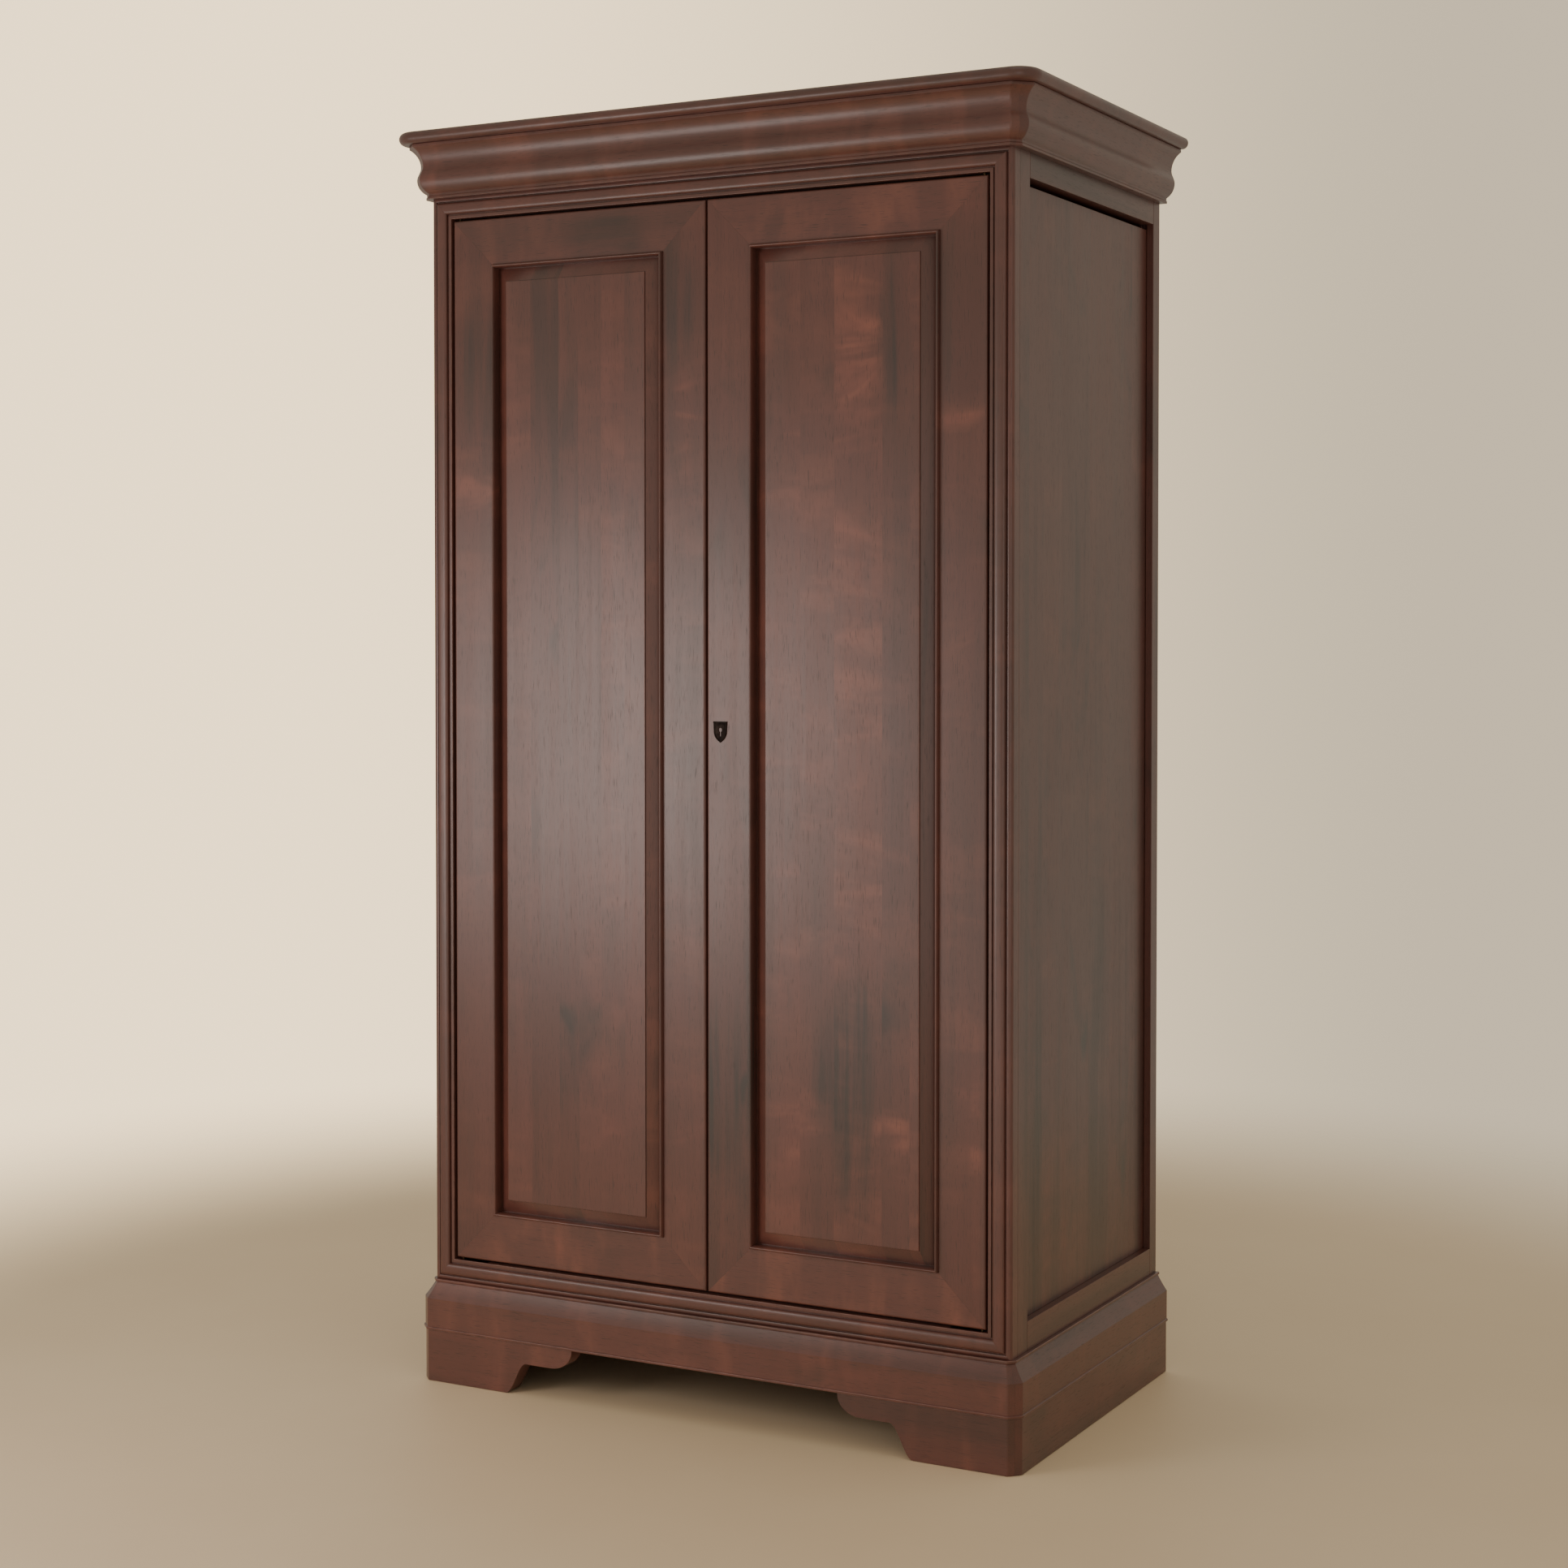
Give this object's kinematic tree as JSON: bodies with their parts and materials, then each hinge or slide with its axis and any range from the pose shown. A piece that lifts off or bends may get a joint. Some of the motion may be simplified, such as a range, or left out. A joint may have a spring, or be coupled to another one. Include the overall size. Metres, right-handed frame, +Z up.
{
  "type": "two-door wardrobe",
  "caption": "Tall double wardrobe with bracket feet, a deep moulded cornice and mitred panelled doors on knife hinges, with a hat shelf and a hanging rail inside.",
  "frame": {"origin": "on the floor, at the middle of the overall width and depth", "axes": "+Z up, the doors face -Y, +X to the right of someone facing the doors"},
  "size_m": [1.106, 0.64, 2],
  "materials": {
    "mahogany_frame": "satin lacquered red-brown mahogany",
    "mahogany_panel": "satin lacquered mahogany staves, glued edge to edge",
    "mahogany_inside": "lightly sealed, matt",
    "aged_brass": "aged",
    "dark_bronze": "dark patinated bronze",
    "brushed_steel": "brushed"
  },
  "bodies": {
    "carcass": {"bracket_foot_left": "mahogany_frame", "bracket_foot_right": "mahogany_frame", "plinth_side_left": "mahogany_frame", "plinth_side_right": "mahogany_frame", "plinth_back_rail": "mahogany_frame", "base_moulding_front": "mahogany_frame", "base_moulding_left": "mahogany_frame", "base_moulding_right": "mahogany_frame", "cornice_front": "mahogany_frame", "cornice_left": "mahogany_frame", "cornice_right": "mahogany_frame", "cornice_top_board": "mahogany_frame", "face_frame_left_stile": "mahogany_frame", "face_frame_right_stile": "mahogany_frame", "face_frame_top_rail": "mahogany_frame", "face_frame_bottom_rail": "mahogany_frame", "side_left_front_stile": "mahogany_frame", "side_left_rear_stile": "mahogany_frame", "side_left_top_rail": "mahogany_frame", "side_left_bottom_rail": "mahogany_frame", "side_left_panel": "mahogany_panel", "side_right_front_stile": "mahogany_frame", "side_right_rear_stile": "mahogany_frame", "side_right_top_rail": "mahogany_frame", "side_right_bottom_rail": "mahogany_frame", "side_right_panel": "mahogany_panel", "back_panel_left": "mahogany_inside", "back_panel_right": "mahogany_inside", "bottom_board": "mahogany_inside", "inner_top_board": "mahogany_inside", "hat_shelf": "mahogany_inside", "rail_bearer_left": "mahogany_frame", "rail_bearer_right": "mahogany_frame", "hanging_rail": "brushed_steel", "left_door_top_frame_leaf": "aged_brass", "left_door_bottom_frame_leaf": "aged_brass", "right_door_top_frame_leaf": "aged_brass", "right_door_bottom_frame_leaf": "aged_brass"},
    "left_door": {"left_door_hinge_stile": "mahogany_frame", "left_door_meeting_stile": "mahogany_frame", "left_door_top_rail": "mahogany_frame", "left_door_bottom_rail": "mahogany_frame", "left_door_panel": "mahogany_panel", "left_door_top_door_leaf": "aged_brass", "left_door_bottom_door_leaf": "aged_brass", "lock_keeper": "aged_brass", "upper_flush_bolt_body": "aged_brass", "lower_flush_bolt_body": "aged_brass"},
    "right_door": {"right_door_hinge_stile": "mahogany_frame", "right_door_meeting_stile": "mahogany_frame", "right_door_top_rail": "mahogany_frame", "right_door_bottom_rail": "mahogany_frame", "right_door_panel": "mahogany_panel", "right_door_top_door_leaf": "aged_brass", "right_door_bottom_door_leaf": "aged_brass", "escutcheon": "dark_bronze", "lock_case": "aged_brass"},
    "lock_bolt": {"lock_bolt": "brushed_steel"},
    "upper_flush_bolt": {"upper_flush_bolt_rod": "brushed_steel"},
    "lower_flush_bolt": {"lower_flush_bolt_rod": "brushed_steel"}
  },
  "joints": [
    {"name": "left_door_hinge", "type": "hinge", "parent": "carcass", "child": "left_door", "pos_m": [-0.456, -0.263, 0.2005], "axis": [0, 0, -1], "range_deg": [0, 105]},
    {"name": "right_door_hinge", "type": "hinge", "parent": "carcass", "child": "right_door", "pos_m": [0.456, -0.263, 0.2005], "axis": [0, 0, 1], "range_deg": [0, 105]},
    {"name": "lock_bolt_slide", "type": "slide", "parent": "right_door", "child": "lock_bolt", "axis": [-1, 0, 0], "range_m": [0, 0.009]},
    {"name": "upper_flush_bolt_slide", "type": "slide", "parent": "left_door", "child": "upper_flush_bolt", "axis": [0, 0, 1], "range_m": [0, 0.012]},
    {"name": "lower_flush_bolt_slide", "type": "slide", "parent": "left_door", "child": "lower_flush_bolt", "axis": [0, 0, -1], "range_m": [0, 0.012]}
  ]
}
